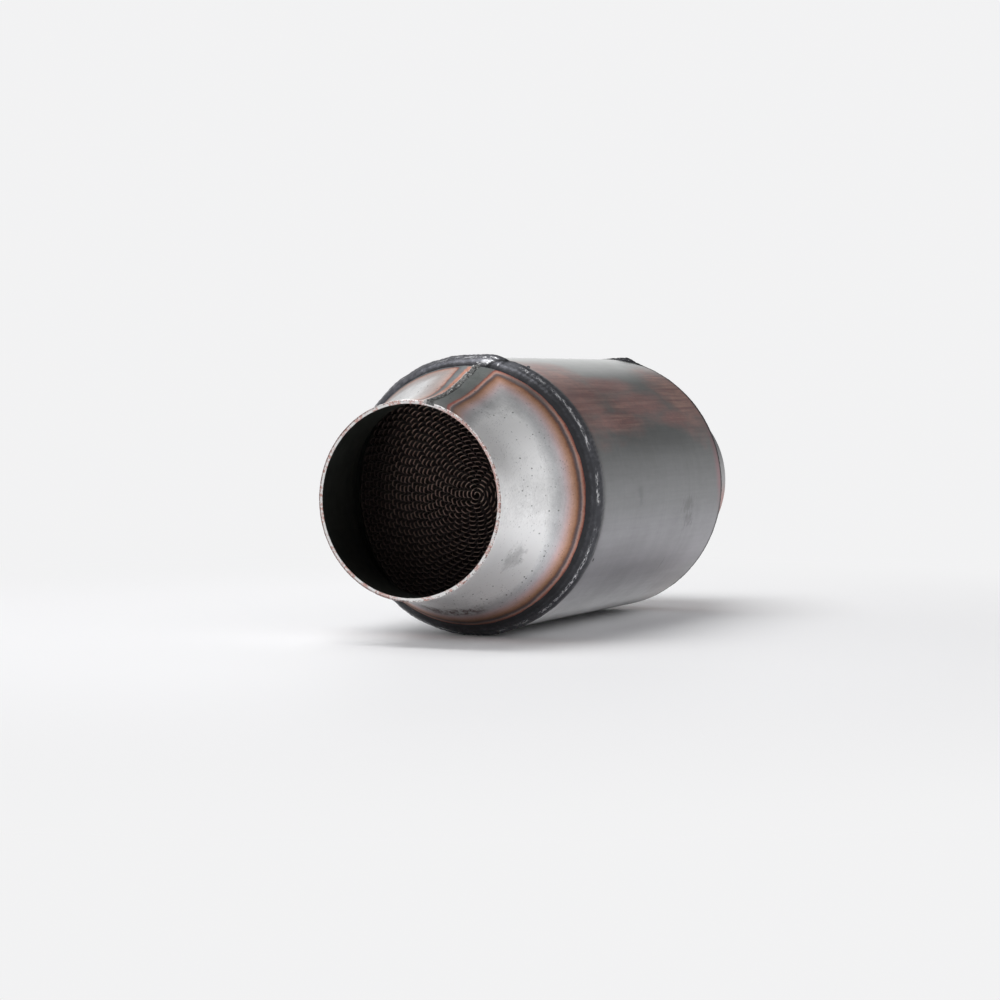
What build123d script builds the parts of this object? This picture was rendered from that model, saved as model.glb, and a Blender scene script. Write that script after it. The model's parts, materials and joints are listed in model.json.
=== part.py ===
from build123d import *
from math import atan2, cos, pi, sin, tan
import os

# Straight-through catalytic converter: a tube casing, a formed cone welded on each end and,
# inside, a pack of flat and corrugated foil wound into a honeycomb in its own mantle.
# Millimetres. The origin is the centre of the inlet mouth, X runs with the gas, Z is up.

# Casing: a rolled and welded tube
casing_diameter = 114.3
casing_wall = 1.5
casing_length = 146.0

# Cones: sheet, a straight neck for a slip-in pipe, a flare and a collar that enters the casing
pipe_diameter = 76.2
pipe_clearance = 0.3
neck_length = 8.0
cone_wall = 1.5
cone_length = 59.5
flare_reach = 16.0
collar_lead = 1.1
collar_depth = 3.0
collar_clearance = 0.15

# The outlet cone is the same sheet cone, turned round and pushed this much deeper into the casing
outlet_set_in = 5.5

# Seam of each rolled cone, as an angle round X from +Y; the cone's edges stand apart by the gap
seam_angle = 96.0
seam_gap_angle = 3.0
seam_bead_width = 4.6
seam_bead_height = 0.9

# Ring weld of the inlet, which stands over the casing: its width on each side of the casing's end,
# its height over the casing and the flattened top between its two shoulders
ring_on_cone = 5.9
ring_on_casing = 5.0
ring_height = 1.15
ring_top_width = 3.8
ring_top_slope = 0.9

# Ring weld of the outlet, which fills the groove between the deeper cone and the casing's end:
# its width on each side of that end, its depth in the groove and the place of its shoulder
groove_on_cone = 4.6
groove_on_casing = 0.7
groove_height = 0.25
groove_root = 2.0
groove_shoulder = 2.0
groove_shoulder_drop = 1.15

# Laps where each ring weld's end runs over its start: a short stretch that stands higher, with
# the angle of its middle and its spread
inlet_lap_place = 102.0
inlet_lap_angle = 9.0
inlet_lap_height = 0.5
outlet_lap_place = 95.0
outlet_lap_angle = 16.0
outlet_lap_height = 1.2
outlet_lap_on_casing = 1.8

# Honeycomb: mantle tube and foils. The cells are drawn 2.5 times too large in every direction,
# so that each one stands for about six of the real pack's 200 cells to the square inch.
# Near the core the waves are narrower, so that a turn never has fewer than six.
mantle_wall = 1.5
mantle_clearance = 0.15
foil_inset = 1.0
foil_thickness = 0.15
foil_gap = 0.05
layer_pitch = 4.4
wave_pitch = 9.8
core_radius = 2.6
core_tail = 1.6
fewest_waves = 6
thinnest_layer = 1.6

# Places along X and radii that follow from the driving values
casing_radius = casing_diameter / 2
casing_bore = casing_radius - casing_wall
casing_start = cone_length
outlet_mouth = casing_start + casing_length + cone_length - outlet_set_in
between_mouths = Plane.YZ.offset(outlet_mouth / 2)
neck_radius = pipe_diameter / 2 + pipe_clearance + cone_wall
collar_radius = casing_bore - collar_clearance

# The cone's outer profile: mouth, middle of the flare's bend, start and end of the collar.
# The flare's arc begins where the neck ends, and runs into the straight flank.
mouth = (0, neck_radius)
flare_corner = (neck_length + flare_reach, neck_radius)
collar_start = (casing_start - collar_lead, collar_radius)
collar_end = (casing_start + collar_depth, collar_radius)
flank_angle = atan2(collar_radius - neck_radius, collar_start[0] - flare_corner[0])
flare_radius = flare_reach / tan(flank_angle / 2)


def on_flank(x):
    """The point of the cone's straight flank at x."""
    return (x, collar_radius - (collar_start[0] - x) * tan(flank_angle))


def meridian(angle):
    """The plane through the X axis whose second axis points outwards at this angle from +Y."""
    return Plane.XY.rotated((angle, 0, 0))


def polar(radius, angle):
    """A point of the cross-section, with the angle in radians from +Y."""
    return (radius * cos(angle), radius * sin(angle))


# Casing
with BuildPart() as casing:
    with BuildSketch(Plane.YZ.offset(casing_start)):
        Circle(casing_radius)
        Circle(casing_bore, mode=Mode.SUBTRACT)
    extrude(amount=casing_length)

# Inlet cone: the sheet's section turned round X, short of a full turn by the seam's gap
with BuildSketch() as cone_section:
    with BuildLine():
        FilletPolyline(mouth, flare_corner, collar_start, radius=flare_radius)
        Line(collar_start, collar_end)
        offset(amount=cone_wall, side=Side.RIGHT)
    make_face()

with BuildPart() as inlet_cone:
    with BuildSketch(meridian(seam_angle + seam_gap_angle / 2)):
        add(cone_section.sketch)
    revolve(axis=Axis.X, revolution_arc=360 - seam_gap_angle)

# The outlet cone mirrors it. The outlet's welds are drawn on the inlet's cone too and then mirrored,
# and in that place the casing's other end stands here.
groove_start = cone_length - outlet_set_in

with BuildPart() as outlet_cone:
    mirror(inlet_cone.part, about=between_mouths)

# Seam weld of a cone: a rounded bead along the outside as far as the ring weld's toe,
# and a root that fills the gap between the cone's edges
toe_on_cone = on_flank(casing_start - ring_on_cone)
toe_in_groove = on_flank(groove_start - groove_on_cone)
bead_half = seam_bead_width / 2
bead_radius = (bead_half**2 + seam_bead_height**2) / (2 * seam_bead_height)
bead_depth = bead_radius - seam_bead_height


def seam_weld(toe):
    """The seam weld of a cone whose ring weld has its toe at this point of the flank."""
    with BuildPart() as weld:
        with BuildLine(meridian(seam_angle)) as bead_run:
            FilletPolyline(mouth, flare_corner, toe, radius=flare_radius)
        with BuildSketch(Plane.YZ.rotated((seam_angle, 0, 0))):
            with Locations((neck_radius - bead_depth, 0)):
                Circle(bead_radius)
        sweep(path=bead_run.line)
        with BuildSketch(meridian(seam_angle)):
            with BuildLine():
                FilletPolyline(mouth, flare_corner, collar_start, radius=flare_radius)
                Polyline(collar_start, collar_end, (collar_end[0], 0), (mouth[0], 0), mouth)
            make_face()
        revolve(axis=Axis.X, mode=Mode.SUBTRACT)
        with BuildSketch(meridian(seam_angle - seam_gap_angle / 2)):
            add(cone_section.sketch)
        revolve(axis=Axis.X, revolution_arc=seam_gap_angle)
    return weld


inlet_seam_weld = seam_weld(toe_on_cone)
outlet_seam_run = seam_weld(toe_in_groove)

with BuildPart() as outlet_seam_weld:
    mirror(outlet_seam_run.part, about=between_mouths)


def standing_section(height):
    """Section of the inlet's ring weld: on the flank, the casing's end and the casing's outside."""
    with BuildSketch() as section:
        with BuildLine():
            Polyline(
                toe_on_cone,
                (casing_start - ring_top_width / 2, casing_radius + height - ring_top_slope),
                (casing_start + ring_top_width / 2, casing_radius + height),
                (casing_start + ring_on_casing, casing_radius),
                (casing_start, casing_radius),
                (casing_start, collar_radius),
                collar_start,
                close=True,
            )
        make_face()
    return section.sketch


def groove_section(on_casing, height):
    """Section of the outlet's ring weld: on the flank, in the groove and over the casing's edge."""
    root = groove_start + groove_root
    with BuildSketch() as section:
        with BuildLine():
            Polyline(
                toe_in_groove,
                (groove_start - groove_shoulder, casing_radius + height - groove_shoulder_drop),
                (groove_start, casing_radius + height),
                (groove_start + on_casing, casing_radius),
                (groove_start, casing_radius),
                (groove_start, casing_bore),
                (root, casing_bore),
                on_flank(root),
                close=True,
            )
        make_face()
    return section.sketch


def ring_weld(section, lap_section, lap_place, lap_angle):
    """A section turned right round X, and the lap's section over its own stretch."""
    with BuildPart() as weld:
        with BuildSketch(meridian(lap_place)):
            add(section)
        revolve(axis=Axis.X)
        with BuildSketch(meridian(lap_place - lap_angle / 2)):
            add(lap_section)
        revolve(axis=Axis.X, revolution_arc=lap_angle)
    return weld


inlet_ring_weld = ring_weld(
    standing_section(ring_height),
    standing_section(ring_height + inlet_lap_height),
    inlet_lap_place,
    inlet_lap_angle,
)
outlet_ring_run = ring_weld(
    groove_section(groove_on_casing, groove_height),
    groove_section(outlet_lap_on_casing, outlet_lap_height),
    outlet_lap_place,
    outlet_lap_angle,
)

with BuildPart() as outlet_ring_weld:
    mirror(outlet_ring_run.part, about=between_mouths)

# Mantle of the honeycomb: it fills the casing between the two collars
mantle_radius = casing_bore - mantle_clearance
mantle_bore = mantle_radius - mantle_wall
mantle_start = casing_start + collar_depth
mantle_length = casing_length - 2 * collar_depth - outlet_set_in

with BuildPart() as mantle:
    with BuildSketch(Plane.YZ.offset(mantle_start)):
        Circle(mantle_radius)
        Circle(mantle_bore, mode=Mode.SUBTRACT)
    extrude(amount=mantle_length)

# Foils: both wind outwards together. The corrugated foil lies on the flat one, and its crests
# carry the next turn of the flat foil, or the mantle outside the last turn.
foil_plane = Plane.YZ.offset(mantle_start + foil_inset)
foil_width = mantle_length - 2 * foil_inset
flat_limit = mantle_bore - foil_gap - foil_thickness / 2
wave_slope = atan2(2 * layer_pitch, wave_pitch)
wave_half = foil_thickness / 2 / cos(wave_slope)


def flat_radius(angle):
    """Radius of the flat foil's middle after winding through this angle."""
    return core_radius + layer_pitch * angle / (2 * pi)


def crest_radius(angle):
    """Highest place for the corrugated foil's middle: under the next turn or the mantle."""
    ceiling = min(flat_radius(angle + 2 * pi) - foil_thickness / 2, mantle_bore)
    return ceiling - foil_gap - wave_half


def trough_radius(angle):
    """Lowest place for the corrugated foil's middle: on the flat foil's outside."""
    return flat_radius(angle) + foil_thickness / 2 + foil_gap + wave_half


crests = [0.0]
while crest_radius(crests[-1]) - trough_radius(crests[-1]) > thinnest_layer:
    middle_radius = (crest_radius(crests[-1]) + trough_radius(crests[-1])) / 2
    crests.append(crests[-1] + min(wave_pitch / middle_radius, 2 * pi / fewest_waves))

first_turn = [2 * pi * step / 8 for step in range(8)]
bends = first_turn + [crest + 2 * pi for crest in crests if flat_radius(crest + 2 * pi) < flat_limit]

with BuildPart() as flat_foil:
    with BuildSketch(foil_plane):
        with BuildLine():
            outside = [polar(flat_radius(a) + foil_thickness / 2, a) for a in bends]
            inside = [polar(flat_radius(a) - foil_thickness / 2, a) for a in bends]
            Polyline(*outside, *reversed(inside), close=True)
        make_face()
        # The inner end is folded across the core, where the winding mandrel's slot held it
        with Locations(((core_radius - core_tail) / 2, 0)):
            Rectangle(core_radius + core_tail + foil_thickness, foil_thickness)
    extrude(amount=foil_width)

wave = []
for crest, following in zip(crests, crests[1:]):
    trough = (crest + following) / 2
    wave.append((crest_radius(crest), crest))
    wave.append((trough_radius(trough), trough))

with BuildPart() as corrugated_foil:
    with BuildSketch(foil_plane):
        with BuildLine():
            outside = [polar(radius + wave_half, a) for radius, a in wave]
            inside = [polar(radius - wave_half, a) for radius, a in wave]
            Polyline(*outside, *reversed(inside), close=True)
        make_face()
    extrude(amount=foil_width)

casing.part.label = "casing"
inlet_cone.part.label = "inlet_cone"
inlet_seam_weld.part.label = "inlet_seam_weld"
inlet_ring_weld.part.label = "inlet_ring_weld"
outlet_cone.part.label = "outlet_cone"
outlet_seam_weld.part.label = "outlet_seam_weld"
outlet_ring_weld.part.label = "outlet_ring_weld"
mantle.part.label = "mantle"
flat_foil.part.label = "flat_foil"
corrugated_foil.part.label = "corrugated_foil"

os.makedirs("parts", exist_ok=True)
export_step(casing.part, "parts/casing.step")
export_step(inlet_cone.part, "parts/inlet_cone.step")
export_step(inlet_seam_weld.part, "parts/inlet_seam_weld.step")
export_step(inlet_ring_weld.part, "parts/inlet_ring_weld.step")
export_step(outlet_cone.part, "parts/outlet_cone.step")
export_step(outlet_seam_weld.part, "parts/outlet_seam_weld.step")
export_step(outlet_ring_weld.part, "parts/outlet_ring_weld.step")
export_step(mantle.part, "parts/mantle.step")
export_step(flat_foil.part, "parts/flat_foil.step")
export_step(corrugated_foil.part, "parts/corrugated_foil.step")
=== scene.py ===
"""Looks of the catalytic converter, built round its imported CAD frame.

The scene is in metres, with X along the gas flow and Z up. The modelling below works in millimetres
and scales each mesh as it is made. An angle round the axis is 0 at the top and grows towards -Y.
"""

import json
import math

import bpy
import numpy as np
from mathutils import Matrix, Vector, noise


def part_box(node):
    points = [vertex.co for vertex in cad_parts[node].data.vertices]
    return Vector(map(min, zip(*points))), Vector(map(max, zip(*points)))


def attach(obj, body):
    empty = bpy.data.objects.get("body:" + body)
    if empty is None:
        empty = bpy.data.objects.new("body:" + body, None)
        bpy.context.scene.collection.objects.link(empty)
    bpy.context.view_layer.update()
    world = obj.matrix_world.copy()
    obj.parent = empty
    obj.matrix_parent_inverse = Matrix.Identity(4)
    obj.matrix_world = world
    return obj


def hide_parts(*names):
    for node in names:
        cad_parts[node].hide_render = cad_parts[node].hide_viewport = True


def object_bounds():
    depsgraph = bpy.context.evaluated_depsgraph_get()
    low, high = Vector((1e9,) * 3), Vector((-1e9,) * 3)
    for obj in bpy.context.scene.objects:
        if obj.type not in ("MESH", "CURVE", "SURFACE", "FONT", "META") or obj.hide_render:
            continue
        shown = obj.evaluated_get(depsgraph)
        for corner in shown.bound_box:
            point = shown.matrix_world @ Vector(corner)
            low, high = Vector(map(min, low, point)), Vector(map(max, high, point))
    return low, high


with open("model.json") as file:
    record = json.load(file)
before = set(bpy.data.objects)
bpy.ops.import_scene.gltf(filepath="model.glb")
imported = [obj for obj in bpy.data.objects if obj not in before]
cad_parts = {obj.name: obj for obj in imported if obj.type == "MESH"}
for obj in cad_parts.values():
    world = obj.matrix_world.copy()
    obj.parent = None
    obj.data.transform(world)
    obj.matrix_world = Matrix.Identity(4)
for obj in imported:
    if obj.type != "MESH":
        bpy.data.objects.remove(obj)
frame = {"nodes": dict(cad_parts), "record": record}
cad_low, cad_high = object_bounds()

# ---------------------------------------------------------------- sizes, in millimetres

MM = 0.001
BODY = "root"


def in_mm(node):
    """Lowest and highest corner of a CAD node."""
    low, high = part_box(node)
    return low / MM, high / MM


casing_low, casing_high = in_mm("casing")
_, cone_high = in_mm("inlet_cone")
ring_low, ring_high = in_mm("inlet_ring_weld")
_, outlet_ring_high = in_mm("outlet_ring_weld")
_, mantle_high = in_mm("mantle")
foil_low, foil_high = in_mm("flat_foil")

whole_length = cad_high.x / MM
casing_radius = casing_high.z
casing_start = casing_low.x
casing_length = casing_high.x - casing_low.x
collar_end = cone_high.x
collar_radius = cone_high.z
neck_bore = frame["record"]["mounts"][0]["dims"]["r_mm"]

wall = 1.5
neck_length = 8.0
flare_reach = 16.0
collar_lead = 1.1

neck_radius = neck_bore + wall
flare_corner = neck_length + flare_reach
collar_start = casing_start - collar_lead
flank = math.atan2(collar_radius - neck_radius, collar_start - flare_corner)
bend_radius = flare_reach / math.tan(flank / 2)
bend_end = neck_length + bend_radius * math.sin(flank)

# The outlet is modelled the same way round and then mirrored: its casing's end stands here
outlet_end = whole_length - casing_high.x

ring_toe = ring_low.x
ring_heel = ring_high.x
ring_height = -ring_low.z - casing_radius
outlet_toe = whole_length - outlet_ring_high.x

# The seam runs straight back from near the top and drifts sideways close to the mouth
seam_angle = 5.0
seam_drift = 8.0
seam_drift_length = 20.0
seam_half_width = 1.7
grey_zone = 7.1
seam_spread = 1.2

# Angles at which each ring bead's end laps over its start
inlet_lap = 12.0
outlet_lap = 9.5
outlet_lap_height = 1.75
ripple_height = 0.04
ripple_pitch = 2.1
bead_sink = 0.06
bead_depth = 0.7

burr_height = 2.4
spatter_size = 0.75
spatter_angle = math.radians(23)

# The cut rim and the rolled casing are not quite true
rim_ease = 0.14
rim_wander = 0.16
casing_wander = 0.05

cone_sides = 420
casing_sides = 360

# The honeycomb is as fine as the photo's, with about 30 layers of foil
layer_pitch = 1.83
waves_more_each_turn = 2.95
wave_pitch = 2 * math.pi * layer_pitch / waves_more_each_turn
foil_thickness = 0.18
worn_edge = 0.26
flat_foil_recess = 1.05
trough_recess = 1.6
core_radius = 0.7
least_layer = 0.6
steps_to_wave = 10
wave_sharpness = 3.6
wave_lift = 0.68


def cone_radius(x):
    """Outer radius of the cone at each distance from its mouth."""
    x = np.asarray(x, dtype=float)
    bend = neck_radius + bend_radius - np.sqrt(np.maximum(bend_radius**2 - (x - neck_length) ** 2, 0))
    straight = collar_radius - (collar_start - x) * math.tan(flank)
    radius = np.where(x < neck_length, neck_radius, np.where(x < bend_end, bend, straight))
    return np.minimum(radius, collar_radius)


def seam_place(x):
    """Angle of the seam at each distance from the mouth, in radians."""
    near_mouth = np.clip(1 - np.asarray(x, dtype=float) / seam_drift_length, 0, 1)
    return np.radians(seam_angle + seam_drift * near_mouth**2)


# ---------------------------------------------------------------- mesh tools


def grain(points, size, octaves=4):
    """Fractal noise from about -1 to 1 at each point; size is that of its largest features."""
    return np.array([noise.fractal(Vector(p) / size, 1.0, 2.0, octaves) for p in points])


def turned(x, radius, angle):
    """Points at a distance along the axis, a radius and an angle from the top towards -Y."""
    return np.stack([x, -radius * np.sin(angle), radius * np.cos(angle)], axis=-1)


def put_in_scene(name, data):
    """A new object in the scene."""
    made = bpy.data.objects.new(name, data)
    bpy.context.scene.collection.objects.link(made)
    return made


def make_piece(name, points, faces, material, replaces, crease=35.0, at_outlet=False):
    """One closed mesh riding on the body in place of CAD nodes. Its points are in millimetres, and
    are mirrored to the outlet end if asked, with the faces turned so that they still look outwards."""
    points = np.array(points, dtype=float).reshape(-1, 3)
    if at_outlet:
        points[:, 0] = whole_length - points[:, 0]
        faces = [tuple(reversed(face)) for face in faces]
    mesh = bpy.data.meshes.new(name)
    mesh.from_pydata((points * MM).tolist(), [], faces)
    mesh.polygons.foreach_set("use_smooth", [True] * len(mesh.polygons))
    mesh.set_sharp_from_angle(angle=math.radians(crease))
    mesh.update()
    mesh.materials.append(material)
    piece = put_in_scene(name, mesh)
    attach(piece, BODY)
    if replaces:
        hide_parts(replaces)


def ring_faces(rows, columns, rows_close=True):
    """Faces of a grid whose columns close on themselves, and its rows too if asked."""
    faces = []
    for i in range(rows if rows_close else rows - 1):
        following = (i + 1) % rows
        for j in range(columns):
            beside = (j + 1) % columns
            a, b = i * columns + j, i * columns + beside
            c, d = following * columns + beside, following * columns + j
            faces.append((a, d, c, b))
    return faces


def tube_faces(rings, columns):
    """Faces of a tube of this many rings, with both of its ends closed."""
    last = (rings - 1) * columns
    ends = [tuple(range(columns)), tuple(last + j for j in reversed(range(columns)))]
    return ring_faces(rings, columns, rows_close=False) + ends


# ---------------------------------------------------------------- materials


class Nodes:
    """Short names for the nodes of a material or world; a value is a number or a node's output."""

    def __init__(self, owner):
        owner.use_nodes = True
        self.tree = owner.node_tree

    def join(self, value, socket):
        if isinstance(value, bpy.types.NodeSocket):
            self.tree.links.new(value, socket)
        else:
            socket.default_value = value

    def fill(self, node, inputs):
        """Joins values to a node's inputs, by name or number."""
        for key, value in inputs.items():
            self.join(value, node.inputs[key])

    def node(self, kind, inputs=None, **settings):
        made = self.tree.nodes.new(kind)
        for key, value in settings.items():
            setattr(made, key, value)
        self.fill(made, inputs or {})
        return made

    def math(self, operation, first, second=0.0, third=0.0, clamp=False):
        inputs = {0: first, 1: second, 2: third}
        return self.node("ShaderNodeMath", inputs, operation=operation, use_clamp=clamp).outputs[0]

    def less(self, first, second):
        """The first minus the second."""
        return self.math("SUBTRACT", first, second)

    def over(self, first, second):
        """The first divided by the second."""
        return self.math("DIVIDE", first, second)

    def chain(self, operation, values):
        """One operation on all of the values, from the first onwards."""
        total = values[0]
        for value in values[1:]:
            total = self.math(operation, total, value)
        return total

    def add(self, *values):
        return self.chain("ADD", values)

    def times(self, *values):
        return self.chain("MULTIPLY", values)

    def most(self, *values):
        return self.chain("MAXIMUM", values)

    def least(self, *values):
        return self.chain("MINIMUM", values)

    def step(self, value, low, high):
        """Rises smoothly from 0 at low to 1 at high, or falls where high is the smaller."""
        inputs = {"Value": value, "From Min": min(low, high), "From Max": max(low, high)}
        if high < low:
            inputs.update({"To Min": 1.0, "To Max": 0.0})
        return self.node("ShaderNodeMapRange", inputs, interpolation_type="SMOOTHSTEP").outputs[0]

    def band(self, value, low, high, soft):
        """1 between low and high, with soft edges."""
        rise = self.step(value, low - soft, low + soft)
        return self.times(rise, self.step(value, high + soft, high - soft))

    def swing(self, value, amount):
        """Turns 0 to 1 into minus to plus half the amount."""
        return self.times(self.less(value, 0.5), amount)

    def mix(self, share, first, second):
        """First colour where share is 0, second where it is 1."""
        first, second = [c if isinstance(c, bpy.types.NodeSocket) else (*c, 1.0) for c in (first, second)]
        inputs = {"Factor": share, 6: first, 7: second}
        return self.node("ShaderNodeMix", inputs, data_type="RGBA", clamp_factor=True).outputs[2]

    def blend(self, share, first, second):
        """First surface or background where share is 0, second where it is 1."""
        return self.node("ShaderNodeMixShader", {0: share, 1: first, 2: second}).outputs[0]

    def shade(self, colour, amount):
        """The colour or place times a number."""
        return self.node("ShaderNodeVectorMath", {0: colour, "Scale": amount}, operation="SCALE").outputs[0]

    def dim(self, colour, share):
        """The colour, darker by this share."""
        return self.shade(colour, self.less(1.0, share))


class Shader(Nodes):
    """One procedural material, which knows where each point lies in millimetres."""

    def __init__(self, name, metallic=1.0):
        self.material = bpy.data.materials.new(name)
        super().__init__(self.material)
        self.surface = self.tree.nodes["Principled BSDF"]
        self.surface.inputs["Metallic"].default_value = metallic
        self.place = self.shade(self.node("ShaderNodeTexCoord").outputs["Object"], 1 / MM)
        self.x, self.y, self.z = self.node("ShaderNodeSeparateXYZ", {0: self.place}).outputs
        self.angle = self.math("ARCTAN2", self.times(self.y, -1.0), self.z)
        self.degrees = self.math("DEGREES", self.angle)
        self.radius = self.math("SQRT", self.add(self.times(self.y, self.y), self.times(self.z, self.z)))

    def along(self, at_outlet):
        """Distance along the axis from the mouth at this end."""
        return self.less(whole_length, self.x) if at_outlet else self.x

    def from_angle(self, angle):
        """Degrees to either side of this angle."""
        return self.math("ABSOLUTE", self.less(self.degrees, angle))

    def mapping(self, place, **inputs):
        return self.node("ShaderNodeMapping", {"Vector": place, **inputs}).outputs[0]

    def noise(self, size, stretch=(1, 1, 1), detail=3.0, rough=0.55, shift=0.0, tilt=0.0):
        """Noise from 0 to 1, with features of this size; stretch squeezes or draws them out, and
        tilt in degrees turns the drawn-out features away from the axis as seen from the side."""
        place = self.mapping(self.place, Rotation=(0, math.radians(tilt), 0)) if tilt else self.place
        place = self.mapping(place, Scale=[1 / (size * s) for s in stretch],
                             Location=(shift, shift * 1.7, -shift))
        inputs = {"Vector": place, "Scale": 1.0, "Detail": detail, "Roughness": rough}
        return self.node("ShaderNodeTexNoise", inputs).outputs[0]

    def specks(self, spacing, size, stretch=(1, 1, 1), shift=0.0):
        """1 inside small spots of about this size, one to a cell of the given spacing."""
        place = self.mapping(self.place, Scale=[1 / (spacing * s) for s in stretch],
                             Location=(shift, -shift, shift))
        cells = self.node("ShaderNodeTexVoronoi", {"Vector": place, "Scale": 1.0})
        edge = size / spacing / 2
        return self.step(cells.outputs["Distance"], edge * 1.3, edge * 0.7)

    def spot(self, along, x, angle, reach_x, reach_angle):
        """Distance from a place on the sheet, where 1 is the edge of an oval of this reach."""
        off_x = self.over(self.less(along, x), reach_x)
        off_angle = self.over(self.less(self.degrees, angle), reach_angle)
        return self.math("SQRT", self.add(self.times(off_x, off_x), self.times(off_angle, off_angle)))

    def ramp(self, value, stops):
        """A colour for each value; stops is a list of (value, colour)."""
        low, high = stops[0][0], stops[-1][0]
        scaled = self.node("ShaderNodeMapRange", {"Value": value, "From Min": low, "From Max": high})
        made = self.node("ShaderNodeValToRGB", {0: scaled.outputs[0]})
        elements = made.color_ramp.elements
        for place, (at, colour) in enumerate(stops):
            share = (at - low) / (high - low)
            stop = elements[0] if place == 0 else elements.new(share)
            stop.position = share
            stop.color = (*colour, 1.0)
        elements.remove(elements[-1])
        return made.outputs[0]

    def finish(self, colour, roughness, height, depth):
        """Joins colour and roughness to the surface, and the height as bump of this depth in mm."""
        bump = self.node("ShaderNodeBump", {"Strength": 1.0, "Distance": depth * MM, "Height": height})
        self.fill(self.surface, {"Base Color": colour, "Roughness": roughness, "Normal": bump.outputs[0]})
        return self.material


def seam_nodes(m, along):
    """Distance round the cone from the seam's middle, as nodes, in millimetres towards -Y."""
    near_mouth = m.math("SUBTRACT", 1.0, m.over(along, seam_drift_length), clamp=True)
    drift = m.times(near_mouth, near_mouth, math.radians(seam_drift))
    seam = m.add(drift, math.radians(seam_angle))
    return m.times(m.less(m.angle, seam), m.radius)


def right_tint(m, heat, along, from_ring):
    """Oxide colours to the right of the seam, from the weld outwards."""
    colour = m.ramp(heat, [
        (-2.0, (0.15, 0.16, 0.155)),
        (-0.3, (0.165, 0.16, 0.155)),
        (0.1, (0.24, 0.08, 0.068)),
        (0.6, (0.45, 0.205, 0.15)),
        (1.2, (0.54, 0.31, 0.25)),
        (1.65, (0.38, 0.29, 0.27)),
        (2.15, (0.15, 0.12, 0.125)),
        (2.8, (0.155, 0.108, 0.102)),
        (3.3, (0.26, 0.132, 0.09)),
        (4.0, (0.41, 0.218, 0.135)),
        (5.3, (0.56, 0.338, 0.255)),
        (6.6, (0.63, 0.44, 0.4)),
        (7.9, (0.66, 0.53, 0.535)),
        (9.4, (0.63, 0.59, 0.605)),
        (11.5, (0.63, 0.632, 0.642)),
        (17.0, (0.7, 0.7, 0.71)),
    ])
    # next to the ring weld's upper right the salmon band is thin and scorched
    scorched = m.times(m.band(m.degrees, 19, 46, 9), m.band(heat, 0.5, 2.6, 0.3), m.step(from_ring, 6, 4))
    colour = m.mix(m.times(scorched, 0.8), colour, (0.15, 0.125, 0.12))
    dark_red = m.times(m.band(heat, 0.1, 1.3, 0.3), m.step(along, 27, 15))
    return m.mix(m.times(dark_red, 0.75), colour, (0.33, 0.06, 0.05))


def left_tint(m, heat, along, from_seam, stripe):
    """Oxide colours to the left of the seam, with a pale and salmon stripe beside its bead."""
    colour = m.ramp(heat, [
        (-1.5, (0.27, 0.285, 0.29)),
        (-0.3, (0.2, 0.205, 0.21)),
        (0.1, (0.36, 0.15, 0.125)),
        (0.6, (0.62, 0.39, 0.32)),
        (2.5, (0.7, 0.57, 0.53)),
        (6.0, (0.72, 0.66, 0.64)),
        (11.0, (0.68, 0.68, 0.685)),
    ])
    stripe = m.times(m.band(from_seam, -0.4, 1.8, 0.4), stripe)
    salmon = m.add(m.step(along, 10, 36), m.swing(m.noise(2.2, detail=4, rough=0.7, shift=21), 1.6))
    return m.mix(stripe, colour, m.mix(salmon, (0.74, 0.61, 0.57), (0.6, 0.305, 0.225)))


def heat_tint(m, along, toe):
    """Oxide colours of the cone: bands that follow the ring weld and the seam, and meet in a V."""
    wander = m.add(m.swing(m.noise(13, detail=2), 2.8), m.swing(m.noise(3.0, shift=5), 1.3))
    fray = m.swing(m.noise(0.8, stretch=(2.5, 1, 1), shift=8), 0.8)
    beside = seam_nodes(m, along)
    from_ring = m.over(m.less(toe + 0.2, along), math.cos(flank))
    widening = m.times(m.add(m.step(along, 18, toe), m.step(along, 28, 0)), seam_spread)
    from_right = m.less(m.less(m.math("ABSOLUTE", beside), grey_zone), widening)
    right_heat = m.math("SMOOTH_MIN", m.times(from_ring, 0.78), m.times(from_right, 1.05), 2.2)
    right_heat = m.add(right_heat, m.times(wander, 0.45), fray)
    from_left = m.less(m.times(beside, -1.0), seam_half_width)
    gap = m.add(2.6, m.times(m.step(along, 12, toe), 2.6))
    left_heat = m.math("SMOOTH_MIN", m.less(from_ring, 0.9), m.less(from_left, gap), 2.8)
    left_heat = m.add(left_heat, m.times(wander, 0.35), fray)
    frayed_left = m.add(from_left, m.times(fray, 1.6))
    left = left_tint(m, left_heat, along, frayed_left, m.step(m.add(from_ring, wander), 0.0, 1.2))
    on_right = m.most(m.step(beside, -0.3, 0.3), m.step(m.degrees, -95, -130))
    oxide = m.mix(on_right, left, right_tint(m, right_heat, along, from_ring))
    return oxide, m.add(m.times(right_heat, on_right), m.times(left_heat, m.less(1.0, on_right)))


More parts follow.
